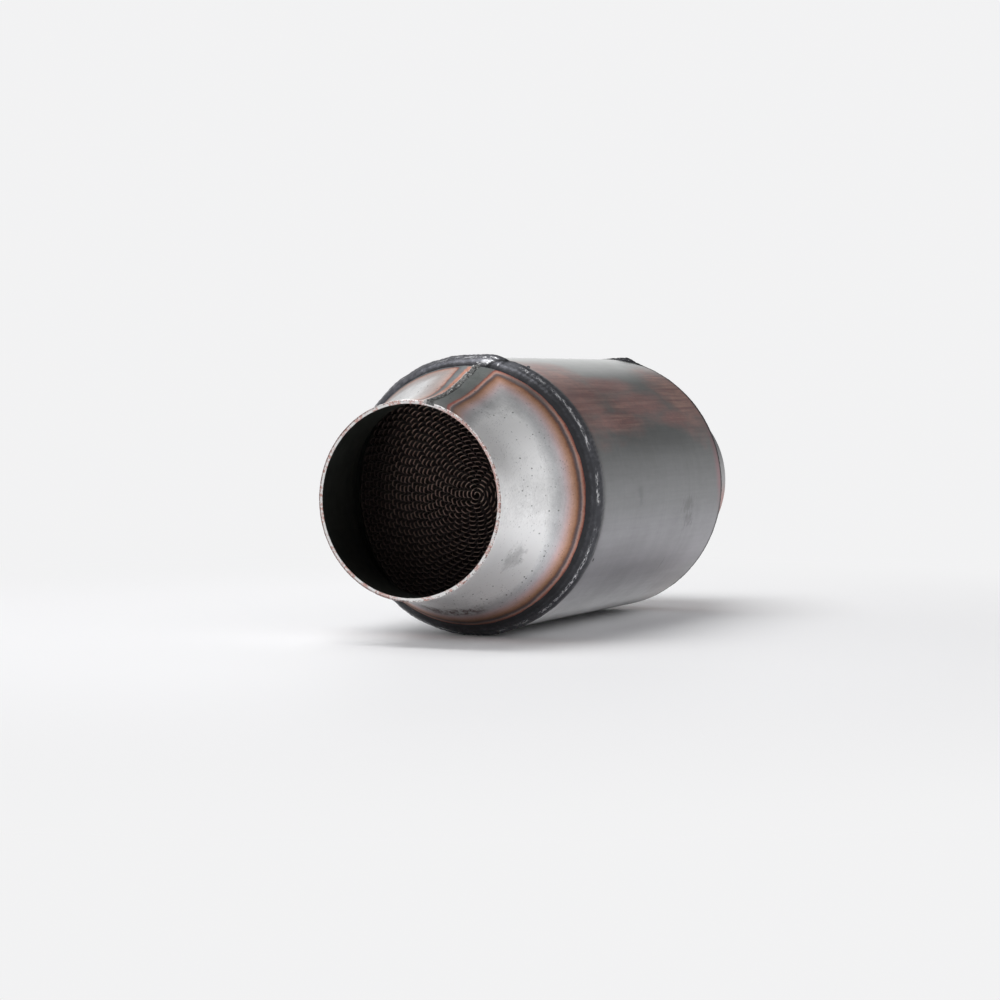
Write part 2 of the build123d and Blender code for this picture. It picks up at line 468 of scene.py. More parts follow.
def cone_marks(m, along, colour, haze, drawn, belt):
    """The cone's colour with its dull cloud, partly painted shade, smudge, stain, pits, scuffs and
    scratches, and the pits.
    """
    # a duller patch near the V, darkened further as painted shade to take down a highlight there
    dull_and_painted_shade = m.step(m.add(m.spot(along, 37, 22, 13, 20), m.swing(haze, 0.8)), 1.3, 0.3)
    colour = m.dim(colour, m.times(dull_and_painted_shade, 0.34))
    smudge = m.add(m.spot(along, 24, 124, 7.5, 10), m.swing(m.noise(4, detail=5, rough=0.7), 1.9))
    colour = m.mix(m.times(m.step(smudge, 1.5, 0.2), 0.52), colour, (0.24, 0.24, 0.24))
    stain = m.times(m.band(along, 37, 43, 1.5), m.step(m.from_angle(0), 158, 170),
                    m.step(m.noise(2.4, detail=5, rough=0.7), 0.44, 0.54))
    colour = m.mix(m.times(stain, 0.8), colour, (0.075, 0.035, 0.028))
    pits = cone_pits(m, belt)
    colour = m.mix(m.times(pits, 0.85), colour, (0.05, 0.05, 0.05))
    scuffs = m.step(m.noise(2.0, stretch=(0.5, 1.8, 1.8), detail=6, rough=0.8, shift=3), 0.57, 0.68)
    colour = m.mix(m.times(scuffs, belt, 0.34), colour, (0.17, 0.17, 0.18))
    scratchy = m.times(m.step(m.spot(along, 16, 47, 14, 22), 1.2, 0.4), m.step(drawn, 0.55, 0.66))
    return m.mix(m.times(scratchy, 0.35), colour, (0.2, 0.2, 0.21)), pits


def cone_pits(m, belt):
    """1 inside the sheet's pits: larger ones in clusters along a belt round the flank, and fine ones."""
    clusters = m.step(m.noise(7, shift=7), 0.45, 0.58)
    large = m.times(m.specks(2.2, 0.62, stretch=(1.9, 1, 1)), clusters, belt)
    patches = m.step(m.noise(5, shift=17), 0.46, 0.6)
    fine = m.times(m.specks(1.1, 0.36, stretch=(1, 1.5, 1.5), shift=30), patches, 0.7)
    broken = m.add(0.35, m.times(m.noise(0.6, detail=4, rough=0.7, shift=27), 1.1))
    return m.times(m.most(large, fine), broken)


def bore_soot(m, brushed):
    """Dull colour of the cone's inside, darker low down."""
    soot = m.mix(m.noise(8, detail=5), (0.055, 0.06, 0.055), (0.125, 0.133, 0.12))
    return m.shade(soot, m.add(0.75, m.swing(brushed, 0.5), m.times(m.step(m.z, 5, -30), -0.45)))


def rim_colour(m):
    """The bright cut rim, with brown and pink specks and a browner outer edge on its left."""
    upper_side = m.step(m.from_angle(55), 42, 26)
    inner_half = m.step(m.radius, neck_bore + 0.95, neck_bore + 0.65)
    rust = m.step(m.noise(1.1, detail=4, rough=0.7, shift=9), 0.44, 0.52)
    patches = m.step(m.noise(5, detail=2, shift=9), 0.46, 0.54)
    rusty = m.most(m.times(patches, rust), m.times(upper_side, inner_half, m.step(rust, -0.6, 1.0)))
    colour = m.mix(m.times(rusty, 0.8), (0.84, 0.83, 0.82), (0.58, 0.3, 0.25))
    outer_edge = m.step(m.radius, neck_radius - 0.7, neck_radius - 0.4)
    brown = m.times(outer_edge, m.step(m.degrees, -12, -42), m.add(0.45, m.times(rust, 0.4)))
    colour = m.mix(brown, colour, (0.22, 0.13, 0.12))
    nicks = m.times(m.step(m.radius, neck_radius - 0.75, neck_radius - 0.45),
                    m.step(m.noise(0.75, detail=4, rough=0.75, shift=2), 0.5, 0.56))
    return m.mix(m.times(nicks, 0.85), colour, (0.11, 0.05, 0.045))


def cone_metal(name, toe, at_outlet=False):
    """Bright satin sheet with heat tint along the seam and the ring weld."""
    m = Shader(name)
    along = m.along(at_outlet)
    tint, heat = heat_tint(m, along, toe)
    cloud = m.noise(20, detail=4, rough=0.6)
    haze = m.noise(6, detail=5, rough=0.65, shift=6)
    brushed = m.noise(0.9, stretch=(0.45, 8, 8), detail=4, rough=0.65)
    drawn = m.noise(0.5, stretch=(9, 0.8, 0.8), rough=0.6, shift=13, tilt=25)
    crossed = m.noise(0.5, stretch=(9, 0.8, 0.8), rough=0.6, shift=43, tilt=-50)
    mottle = m.noise(1.5, detail=5, rough=0.75, shift=4)
    tone = m.add(0.98, m.swing(cloud, 0.24), m.swing(haze, 0.26), m.swing(brushed, 0.22),
                 m.swing(drawn, 0.26), m.swing(crossed, 0.2), m.swing(mottle, 0.32))
    # painted light and shade: bands round the flank are painted lighter and darker, and the sheet is
    # painted darker underneath as shade
    for first, last, soft, amount in ((40, 58, 8, 0.14), (80, 98, 9, -0.11), (110, 145, 8, 0.26),
                                      (-60, 2, 8, -0.13)):
        tone = m.add(tone, m.times(m.band(m.degrees, first, last, soft), amount))
    colour = m.dim(m.shade(tint, tone), m.times(m.step(m.from_angle(0), 150, 176), 0.28))
    belt = m.add(0.25, m.times(m.band(along, 14, 42, 5), 0.75))
    colour, pits = cone_marks(m, along, colour, haze, drawn, belt)
    inside = m.step(m.less(m.radius, bore_line(m, along)), 0.35, -0.35)
    colour = m.mix(inside, colour, bore_soot(m, brushed))
    if at_outlet:
        neck = m.mix(m.step(m.degrees, 88, 104), (0.38, 0.38, 0.385), (0.46, 0.3, 0.28))
        colour = m.mix(m.step(along, 14, 6), colour, neck)
    on_rim = m.times(m.step(along, 0.3, 0.1), m.step(m.radius, neck_bore - 0.3, neck_bore + 0.1))
    colour = m.mix(on_rim, colour, rim_colour(m))
    oxide = m.step(heat, 4.0, 0.5)
    roughness = m.add(0.32, m.times(cloud, 0.08), m.times(mottle, 0.12), m.times(oxide, 0.1),
                      m.times(inside, 0.2))
    height = m.add(m.times(brushed, 0.4), m.times(drawn, 0.3), m.times(mottle, 0.45), m.times(pits, -1.0))
    return m.finish(colour, roughness, height, depth=0.035)


def bore_line(m, along):
    """Radius halfway through the cone's wall, as nodes, to tell its inside from its outside."""
    middle = neck_radius - wall / 2
    past_neck = m.most(m.less(along, neck_length), 0.0)
    drop = m.math("SQRT", m.less(bend_radius**2, m.times(past_neck, past_neck)))
    bend = m.most(m.least(m.less(middle + bend_radius, drop), casing_radius), middle)
    straight = m.less(collar_radius - wall / 2, m.times(m.less(collar_start, along), math.tan(flank)))
    past_bend = m.step(along, bend_end - 0.1, bend_end + 0.1)
    line = m.add(m.times(bend, m.less(1.0, past_bend)), m.times(straight, past_bend))
    return m.least(line, collar_radius - wall / 2)


def casing_patches(m, along, ragged):
    """1 where the casing is copper brown: one large patch by the inlet, and smaller ones behind it."""
    places = ((14, 40, 36, 24), (78, 49, 40, 8), (134, 45, 26, 20), (40, 58, 34, 6), (112, 57, 22, 5),
              (60, 38, 30, 6))
    return m.most(*[m.step(m.add(m.spot(along, *place), ragged), 1.5, 0.35) for place in places])


def casing_grey_painted_shade(m, along, tone):
    """The casing's grey, painted lighter and darker round its circumference as light and shade, with a
    painted dark reflection along one side.
    """
    # painted light and shade: the grey changes with the angle round the tube as the light falls on it
    shaded_grey = m.ramp(m.degrees, [
        (-120, (0.36, 0.36, 0.37)),
        (-5, (0.42, 0.43, 0.425)),
        (10, (0.36, 0.37, 0.365)),
        (20, (0.3, 0.31, 0.305)),
        (30, (0.3, 0.312, 0.308)),
        (62, (0.255, 0.264, 0.26)),
        (82, (0.195, 0.199, 0.202)),
        (95, (0.24, 0.243, 0.25)),
        (106, (0.32, 0.318, 0.335)),
        (125, (0.41, 0.402, 0.425)),
        (150, (0.44, 0.435, 0.45)),
    ])
    # painted reflection: a dark band along the side, standing in for a dark reflection in the metal
    painted_dark_reflection = m.times(m.band(m.degrees, 60, 72, 6), m.band(along, 25, 120, 18))
    return m.mix(m.times(painted_dark_reflection, 0.3), m.shade(shaded_grey, tone), (0.11, 0.115, 0.115))


def casing_copper(m, along, ragged, streaks, cloud, fine, blotch):
    """Copper heat tint in streaks along the axis, paler near the rear edge."""
    redder = m.step(m.add(streaks, m.swing(blotch, 0.35)), 0.34, 0.7)
    copper = m.mix(redder, (0.37, 0.165, 0.155), (0.62, 0.345, 0.29))
    copper = m.mix(m.times(m.step(cloud, 0.42, 0.6), 0.45), copper, (0.46, 0.25, 0.235))
    warm = m.step(m.add(m.spot(along, 131, 46, 20, 13), ragged), 1.4, 0.3)
    warm = m.times(warm, m.step(streaks, 0.36, 0.56))
    copper = m.mix(m.times(warm, 0.5), copper, (0.74, 0.45, 0.35))
    return m.shade(copper, m.add(1.0, m.swing(fine, 0.3), m.swing(cloud, 0.35)))


def casing_marks(m, along, colour, ragged, fine, blotch):
    """The casing's colour with its smudges, short scratch, blush and black dots, and painted shade
    underneath.
    """
    scatter = m.swing(m.noise(2.4, stretch=(0.8, 1.6, 1.6), detail=6, rough=0.8), 4.2)
    smudge = m.least(m.spot(along, 105, 97, 9, 5), m.spot(along, 107, 104, 7, 5))
    colour = m.mix(m.times(m.step(m.add(smudge, scatter), 1.1, 0.1), 0.42), colour, (0.1, 0.1, 0.1))
    rub = m.add(m.spot(along, 46, 90, 3.0, 5), m.swing(blotch, 2.6))
    colour = m.mix(m.times(m.step(rub, 1.2, 0.1), 0.35), colour, (0.11, 0.11, 0.12))
    scratch = m.add(m.spot(along, 97, 125, 0.6, 4), m.swing(fine, 1.2))
    colour = m.mix(m.times(m.step(scratch, 1.2, 0.5), 0.45), colour, (0.1, 0.1, 0.11))
    blush = m.add(m.spot(along, casing_length, 80, 6, 18), m.times(ragged, 0.6))
    colour = m.mix(m.times(m.step(blush, 1.4, 0.3), 0.75), colour, (0.33, 0.175, 0.19))
    dot = m.least(m.spot(along, 8.2, 117, 0.75, 0.9), m.spot(along, 4.6, 121.5, 0.35, 0.7))
    colour = m.mix(m.step(m.add(dot, m.swing(fine, 0.6)), 1.1, 0.7), colour, (0.012, 0.012, 0.012))
    # painted shade: the underside is painted dark, as the shade and dark reflection where the casing meets
    # the floor
    painted_contact_shade = m.step(m.from_angle(0), 148, 172)
    return m.mix(m.times(painted_contact_shade, 0.7), colour, (0.06, 0.06, 0.062))


def weld_oxide(m, along, colour, blotch):
    """The casing's colour with thin dark oxide beside each ring weld."""
    to_end = m.least(along, m.less(casing_length, along))
    near_end = m.times(m.step(m.add(to_end, m.swing(blotch, 1.8)), 8.2, 3.2), m.step(along, 60, 50))
    far_end = m.step(along, casing_length - 2.2, casing_length - 0.6)
    return m.mix(m.times(m.most(near_end, far_end), 0.7), colour, (0.055, 0.052, 0.055))


def casing_metal():
    """Satin tube with copper heat tint drawn out along its axis near the top."""
    m = Shader("casing_satin")
    along = m.less(m.x, casing_start)
    streaks = m.noise(1.5, stretch=(34, 1, 1), detail=5, rough=0.65)
    hoops = m.noise(5.0, stretch=(1, 30, 30), detail=4, rough=0.6, shift=2)
    cloud = m.noise(24, stretch=(1.6, 1, 1), shift=5)
    fine = m.noise(0.7, stretch=(14, 1, 1), detail=4, rough=0.7, shift=8)
    blotch = m.noise(3.0, stretch=(2.0, 1, 1), detail=5, rough=0.75, shift=19)
    ragged = m.add(m.swing(m.noise(6, stretch=(2.6, 1, 1), detail=5, rough=0.65, shift=1), 1.1),
                   m.swing(m.noise(17, stretch=(1.5, 1, 1), detail=2, shift=11), 0.8))
    brown = casing_patches(m, along, ragged)
    tone = m.add(1.0, m.swing(cloud, 0.48), m.swing(hoops, 0.22), m.swing(streaks, 0.22),
                 m.swing(fine, 0.12), m.swing(blotch, 0.22))
    colour = m.mix(m.times(brown, m.add(0.68, m.swing(blotch, 0.7))), casing_grey_painted_shade(m, along, tone),
                   casing_copper(m, along, ragged, streaks, cloud, fine, blotch))
    colour = casing_marks(m, along, colour, ragged, fine, blotch)
    colour = weld_oxide(m, along, colour, blotch)
    roughness = m.add(0.31, m.times(cloud, 0.1), m.times(fine, 0.1), m.times(brown, 0.06))
    height = m.add(m.times(streaks, 0.5), m.times(fine, 0.3), m.times(hoops, 0.35), m.times(blotch, 0.2))
    return m.finish(colour, roughness, height, depth=0.022)


def inlet_bare_metal_and_highlights(m, past_end, scale, lumps, dusty):
    """1 where the inlet bead shows bare metal, in flecks along its ridge in runs and at its lap, and in a
    painted highlight near the top and a painted glint beside the lap.
    """
    crest = m.band(m.add(past_end, m.swing(lumps, 1.4), m.swing(dusty, 0.8)), -2.5, -1.4, 0.45)
    fleck = m.step(m.noise(0.55, stretch=(0.9, 3.2, 3.2), detail=5, rough=0.75, shift=6), 0.5, 0.56)
    runs = m.step(m.noise(12, detail=2, shift=12), 0.42, 0.56)
    for angle, reach in ((28, 6), (47, 9), (66, 5), (87, 7), (116, 8), (143, 5)):
        runs = m.most(runs, m.step(m.from_angle(angle), reach, reach / 2))
    # painted highlight: a sheen along the top of the bead
    painted_sheen = m.times(m.band(m.degrees, -16, 5, 4), m.band(past_end, -3.2, -0.6, 0.8),
                    m.step(m.noise(0.8, stretch=(0.8, 3.0, 3.0), detail=5, rough=0.75, shift=36), 0.5, 0.6))
    lap = m.add(m.spot(past_end, -4.0, inlet_lap - 3.4, 1.3, 3.6), m.swing(dusty, 3.4), m.swing(scale, 1.6))
    # painted glint: a small bright spot beside the lap
    painted_glint = m.add(m.spot(past_end, -4.4, inlet_lap + 2.4, 0.6, 0.6), m.swing(dusty, 1.0))
    lap = m.times(m.step(m.least(lap, painted_glint), 1.0, 0.3), m.add(0.3, m.times(fleck, 0.45)))
    return m.most(m.times(crest, fleck, runs), m.times(painted_sheen, 0.55), lap)


def outlet_bare_metal(m):
    """1 in the outlet bead's few bright specks, which lie near its lap."""
    near_lap = m.band(m.degrees, outlet_lap - 22, outlet_lap + 12, 4)
    return m.times(m.step(m.noise(0.9, detail=5, rough=0.8, shift=6), 0.6, 0.64),
                   m.add(0.12, m.times(near_lap, 0.7)))


def ring_scale(name, at_outlet=False):
    """Dark oxidised bead, with bright metal along its crest where the scale has broken off, and at the
    inlet a painted highlight and glint. Its upper side is painted lighter as light, and its groove darker
    below as shade.
    """
    m = Shader(name, metallic=0.9)
    along = m.along(at_outlet)
    toe, end = (outlet_toe, outlet_end) if at_outlet else (ring_toe, casing_start)
    past_end = m.less(along, end)
    scale = m.noise(1.1, detail=6, rough=0.75)
    lumps = m.noise(7, shift=3)
    dusty = m.noise(2.4, detail=5, rough=0.75, shift=15)
    # painted light: the bead's upper side is painted lighter and bluer, and shows more of the pale dust
    upper = m.step(m.from_angle(-24), 60, 28)
    colour = m.mix(lumps, (0.052, 0.053, 0.06), (0.09, 0.092, 0.102))
    colour = m.mix(m.times(upper, m.add(0.55, m.swing(lumps, 0.6))), colour, (0.112, 0.114, 0.131))
    dust = m.times(m.step(dusty, 0.45, 0.72), m.add(0.22, m.times(upper, 0.36)))
    colour = m.mix(dust, colour, (0.24, 0.24, 0.265))
    foot = m.step(m.add(along, m.swing(dusty, 1.2)), toe + 1.8, toe + 0.7)
    colour = m.mix(m.times(foot, 0.75), colour, (0.03, 0.03, 0.032))
    # painted shade: the groove is darkened on the bead's lower side only
    trough = m.band(m.add(past_end, m.swing(lumps, 1.2)), -4.3, -3.0, 0.5)
    colour = m.mix(m.times(trough, 0.45, m.less(1.0, upper)), colour, (0.035, 0.035, 0.038))
    if at_outlet:
        colour = m.shade(colour, 0.2)
        bright = outlet_bare_metal(m)
    else:
        bright = inlet_bare_metal_and_highlights(m, past_end, scale, lumps, dusty)
    colour = m.mix(m.times(bright, 0.92), colour, (0.88, 0.88, 0.9))
    if not at_outlet:
        cut = m.band(m.add(m.degrees, m.times(past_end, -1.1)), inlet_lap + 3.4, inlet_lap + 5.3, 0.5)
        cut = m.times(cut, m.band(past_end, -6.0, 1.0, 0.5))
        colour = m.mix(m.times(cut, 0.85), colour, (0.02, 0.02, 0.022))
    roughness = m.add(0.34, m.times(scale, 0.22), m.times(bright, -0.14))
    height = m.add(m.times(scale, 0.7), m.times(bright, 0.4), m.times(dusty, 0.3))
    return m.finish(colour, roughness, height, depth=0.11)


def seam_scale(name, at_outlet=False):
    """Grainy bead, dark grey with light specks, brighter where it meets the mouth."""
    m = Shader(name, metallic=0.9)
    along = m.along(at_outlet)
    grains = m.noise(0.7, detail=6, rough=0.85)
    lumps = m.noise(3.0, detail=4, shift=3)
    colour = m.mix(m.step(grains, 0.42, 0.58), (0.04, 0.041, 0.042), (0.2, 0.205, 0.2))
    near_mouth = m.step(along, 9, 0)
    left_edge = m.step(seam_nodes(m, along), -0.3, -1.3)
    speck = m.step(m.noise(0.55, detail=4, rough=0.8, shift=6), 0.56, 0.64)
    speck = m.times(speck, m.add(0.55, m.times(near_mouth, 0.4), m.times(left_edge, 0.4)))
    speck = m.most(speck, m.times(m.step(m.add(left_edge, m.swing(lumps, 1.2)), 0.7, 1.0), 0.7))
    colour = m.mix(m.times(speck, 0.85), colour, (0.74, 0.72, 0.71))
    roughness = m.add(0.34, m.times(grains, 0.2))
    return m.finish(colour, roughness, m.add(grains, m.times(speck, 0.5)), depth=0.12)


def foil_metal():
    """Coated foil: worn lighter along its front edges, lightest at the core, dark further in, with painted
    light left of the middle and a painted shadow over its left and upper part.
    """
    m = Shader("foil_coat", metallic=0.2)
    patches = m.noise(9)
    fine = m.noise(1.0, shift=2)
    middle = (foil_low.x + foil_high.x) / 2
    reach = (foil_high.x - foil_low.x) / 2
    to_face = m.less(reach, m.math("ABSOLUTE", m.less(m.x, middle)))
    worn = m.step(to_face, 1.15, 0.25)
    near_core = m.step(m.add(m.radius, m.swing(patches, 5)), 9, 2)
    # painted shadow: the face darkens towards its left and upper side, where the cone's shadow falls; it is
    # painted lighter just left of the middle
    away = m.most(m.step(m.less(m.y, m.z), 0, 72), m.step(m.y, 24, 47))
    edge = m.mix(patches, (0.5, 0.385, 0.345), (0.72, 0.49, 0.41))
    edge = m.shade(edge, m.add(0.95, m.times(m.step(m.y, 2, 24), 0.35), m.times(away, -1.15)))
    broken = m.step(m.noise(4, rough=0.65, shift=15), 0.3, 0.52)
    edge = m.mix(m.times(near_core, 0.95), edge, m.mix(broken, (0.16, 0.12, 0.11), (1.0, 0.78, 0.67)))
    coat = m.mix(patches, (0.06, 0.045, 0.041), (0.1, 0.07, 0.062))
    # the same painted shadow over the coat
    coat = m.dim(coat, m.times(away, 0.5))
    colour = m.mix(worn, coat, m.shade(edge, m.add(1.0, m.swing(fine, 1.1))))
    return m.finish(colour, m.add(0.5, m.times(fine, 0.2)), fine, depth=0.03)


def mantle_metal():
    """Dull tube round the honeycomb."""
    m = Shader("mantle_dull")
    patches = m.noise(6, detail=4)
    streaks = m.noise(0.9, stretch=(20, 1, 1))
    colour = m.mix(patches, (0.1, 0.095, 0.09), (0.2, 0.18, 0.165))
    return m.finish(colour, m.add(0.42, m.times(patches, 0.2)), streaks, depth=0.02)


# ---------------------------------------------------------------- pieces


def swept(section, sides):
    """X, radius and angle of each point of a section turned round the axis."""
    angles = np.linspace(0, 2 * math.pi, sides, endpoint=False)
    x = np.broadcast_to(section[:, 0], (sides, len(section)))
    radius = np.broadcast_to(section[:, 1], x.shape)
    return x, radius, np.broadcast_to(angles[:, None], x.shape)


def build_cone(name, material, at_outlet):
    """Sheet cone turned from its section, with a slightly ragged cut rim."""
    outer_x = np.concatenate([[rim_ease], np.linspace(0.9, collar_end, 76)])
    inner_x = np.concatenate([np.linspace(collar_end, 1.2, 40), [rim_ease]])
    outer = np.stack([outer_x, cone_radius(outer_x)], axis=1)
    inner = np.stack([inner_x, cone_radius(inner_x) - wall], axis=1)
    rim = np.array([(0.03, neck_bore + rim_ease), (0.0, neck_radius - rim_ease)])
    section = np.concatenate([outer, inner, rim])
    points = turned(*swept(section, cone_sides)).reshape(-1, 3)
    # the rim was cut by hand: it wanders by a tenth of a millimetre or two
    near_rim = np.exp(-np.maximum(points[:, 0], 0) / 0.5)
    moved = near_rim > 0.05
    points[moved, 0] += rim_wander * grain(points[moved], 2.5) * near_rim[moved]
    faces = ring_faces(cone_sides, len(section))
    make_piece(name + "_sheet", points, faces, material, name, at_outlet=at_outlet)


def build_casing(material):
    """Rolled tube, true to within a few hundredths, so that its reflections run a little uneven."""
    stations = np.linspace(casing_start, casing_start + casing_length, 74)
    inner = stations[::-12]
    section = np.concatenate([
        np.stack([stations, np.full(len(stations), casing_radius)], axis=1),
        np.stack([inner, np.full(len(inner), casing_radius - wall)], axis=1),
    ])
    x, radius, turn = swept(section, casing_sides)
    uneven = grain(turned(x, radius, turn).reshape(-1, 3), 38.0, 2).reshape(x.shape)
    points = turned(x, radius + casing_wander * uneven, turn)
    faces = ring_faces(casing_sides, len(section))
    make_piece("casing_tube", points, faces, material, "casing")


def bump(angles, middle, spread):
    """1 at this angle in degrees, falling off to 0 on both sides; the angles are in radians."""
    off = (np.degrees(angles) - middle + 180) % 360 - 180
    return np.exp(-((off / spread) ** 2))


def bead_course(angles, at_outlet, seed):
    """Toe, heel and height of a ring bead at each angle, and how its section leaves toe and heel."""
    around = turned(np.zeros(len(angles)), np.full(len(angles), casing_radius), angles)
    toe_wander, heel_wander = grain(around + seed, 9, 3), grain(around - seed + 70, 8, 3)
    uneven = grain(around + seed + 31, 7, 2)
    if at_outlet:
        toe_x = outlet_toe + 0.4 * toe_wander
        heel_x = outlet_end + 0.55 + 0.25 * heel_wander + 1.7 * bump(angles, outlet_lap, 8)
        lumps = outlet_lap_height * bump(angles, outlet_lap, 7) + 0.5 * bump(angles, outlet_lap - 17, 2)
        lumps = lumps * (1 + 0.4 * grain(around + seed + 11, 3.2, 3))
        return toe_x, heel_x, 0.25 * (1 + 0.3 * uneven) + lumps, (1.2, 2.6), (-2.2, 0.3)
    toe_x = ring_toe + 0.45 * toe_wander + 1.9 * bump(angles, -75, 60)
    heel_x = ring_heel + 0.55 * heel_wander
    lap = bump(angles, inlet_lap - 2, 5) - 0.55 * bump(angles, inlet_lap + 4.5, 1.3)
    return toe_x, heel_x, ring_height * (1 + 0.2 * uneven + 0.45 * lap), (1.1, 3.0), (-2.6, 0.0)


def bead_relief(share, turn, flat, at_outlet, seed):
    """Ripples and roughness of a ring bead, and the ridge and groove along the inlet's."""
    arc = turn * casing_radius + 1.4 * (2 * share - 1) ** 2
    ripple = ripple_height * np.sin(2 * math.pi * arc / ripple_pitch)
    rough = 0.1 * grain(flat + seed, 1.7, 4).reshape(turn.shape)
    if at_outlet:
        return ripple + rough
    lumpy = grain(flat - seed, 2.4, 4).reshape(turn.shape)
    ridge = (0.22 + 0.16 * lumpy) * np.exp(-(((share - 0.6) / 0.09) ** 2))
    groove = -0.2 * np.exp(-(((share - 0.38) / 0.09) ** 2)) * (0.8 + 0.4 * lumpy)
    return ripple + rough + (ridge + groove)


def build_ring_weld(name, material, at_outlet):
    """A bead laid round the joint: its toes wander, its crest is lumpy and its end laps its start."""
    steps, across = 1100, 30
    end = outlet_end if at_outlet else casing_start
    seed = np.array([0, 0, 200.0 if at_outlet else 0.0])
    angles = np.linspace(0, 2 * math.pi, steps, endpoint=False)
    toe_x, heel_x, rise, shoulder, crest = bead_course(angles, at_outlet, seed)
    toe_r = cone_radius(toe_x) - bead_sink
    heel_r = np.full(steps, casing_radius - bead_sink)
    # a cubic curve from toe to heel, steep on the cone and flat on the casing
    ends = [np.stack([toe_x, toe_r], 1),
            np.stack([toe_x + shoulder[0], toe_r + shoulder[1] + 1.1 * rise], 1),
            np.stack([heel_x + crest[0], heel_r + crest[1] + 1.9 * rise], 1),
            np.stack([heel_x, heel_r], 1)]
    share = np.linspace(0, 1, across)[None, :]
    weights = [(1 - share) ** 3, 3 * (1 - share) ** 2 * share, 3 * (1 - share) * share**2, share**3]
    curve = sum(w[..., None] * e[:, None, :] for w, e in zip(weights, ends))
    x, radius = curve[..., 0], curve[..., 1]
    turn = np.broadcast_to(angles[:, None], x.shape)
    flat = turned(x, radius, turn).reshape(-1, 3)
    relief = bead_relief(share, turn, flat, at_outlet, seed)
    top = turned(x, radius + np.sin(math.pi * share) * relief, turn)
    under_x = np.stack([heel_x - 0.4, np.full(steps, end), toe_x + 0.8], axis=1)
    under_r = np.stack([heel_r - bead_depth, np.full(steps, casing_radius - wall),
                        cone_radius(toe_x + 0.8) - bead_depth], axis=1)
    under = turned(under_x, under_r, np.broadcast_to(angles[:, None], under_x.shape))
    points = np.concatenate([top, under], axis=1)
    faces = ring_faces(steps, points.shape[1])
    make_piece(name + "_bead", points, faces, material, name, 60, at_outlet)


def build_seam_weld(name, material, at_outlet):
    """A rough bead along the cone's seam, from over the rim to under the ring weld."""
    steps, across = 300, 18
    toe = outlet_toe if at_outlet else ring_toe
    x = np.linspace(-0.12, toe + 3.2, steps)
    angle = seam_place(x)
    middle = turned(x, cone_radius(x), angle)
    half = seam_half_width * (1 + 0.22 * grain(middle, 4, 3) + 0.45 * np.exp(-((x / 5.0) ** 2)))
    share = np.linspace(-1, 1, across)[None, :]
    rise = 0.6 * np.maximum(1 - share**2, 0) ** 0.6
    turn = angle[:, None] + share * half[:, None] / cone_radius(x)[:, None]
    xs = np.broadcast_to(x[:, None], turn.shape)
    base = cone_radius(xs)
    flat = turned(xs, base, turn).reshape(-1, 3)
    rough = grain(flat, 1.2, 4).reshape(turn.shape) + 0.6 * grain(flat + 50, 3.2, 2).reshape(turn.shape)
    radius = base - 0.08 + rise * (1 + 0.75 * rough)
    top = turned(xs, radius, turn)
    under = turned(xs[:, ::-5], base[:, ::-5] - 0.8, turn[:, ::-5])
    points = np.concatenate([top, under], axis=1)
    faces = tube_faces(steps, points.shape[1])
    make_piece(name + "_bead", points, faces, material, name, 60, at_outlet)


def build_drop(name, place, size, material):
    """A small ball of spatter stuck to the surface at this place."""
    rows, columns = 9, 14
    tilt = np.linspace(0.12, math.pi - 0.12, rows)
    round_it = np.linspace(0, 2 * math.pi, columns, endpoint=False)
    points = np.array([(math.sin(t) * math.cos(a), math.sin(t) * math.sin(a), math.cos(t))
                       for t in tilt for a in round_it])
    points *= size * (1 + 0.25 * grain(points + np.array(place), 1.1, 2))[:, None]
    make_piece(name, points + np.array(place), tube_faces(rows, columns), material, None, crease=60)


def build_burr(material):
    """A curl of metal standing up inside the mouth, where the neck was cut."""
    stations, columns = 12, 8
    along = np.linspace(0, 1, stations)
    height = -neck_bore - 0.3 + burr_height * along
    x = 0.7 + 0.9 * along**2
    y = 0.8 * along**2 + 0.4
    thick = 0.22 * (1 - 0.8 * along)
    round_it = np.linspace(0, 2 * math.pi, columns, endpoint=False)
    points = np.array([(x[i] + thick[i] * math.cos(a), y[i] + thick[i] * math.sin(a), height[i])
                       for i in range(stations) for a in round_it])
    make_piece("rim_burr", points, tube_faces(stations, columns), material, None, crease=60)


def flat_radius(turn):
    """Radius of the flat foil after winding through this angle."""
    return core_radius + layer_pitch * turn / (2 * math.pi)


def ribbon(name, radius, turn, thickness, recess, material, replaces):
    """A strip wound round the axis: its middle line drawn out along X, with both sides and edges."""
    line = np.stack([radius * np.cos(turn), radius * np.sin(turn)], axis=1)
    forward = np.gradient(line, axis=0)
    forward /= np.linalg.norm(forward, axis=1)[:, None]
    side = np.stack([forward[:, 1], -forward[:, 0]], axis=1) * thickness / 2
    # the face of the pack is not quite true: neighbouring turns stand in and out a little
    face = foil_low.x + recess + 0.18 * grain(np.stack([line[:, 0], line[:, 1], turn * 2], axis=1), 6, 2)
    back = np.full(len(line), foil_high.x)
    corners = [np.stack([x, *(line + offset).T], axis=1)
               for x, offset in ((face, side), (face, -side), (back, -side), (back, side))]
    faces = tube_faces(len(line), len(corners))
    make_piece(name, np.stack(corners, axis=1), faces, material, replaces, crease=50)


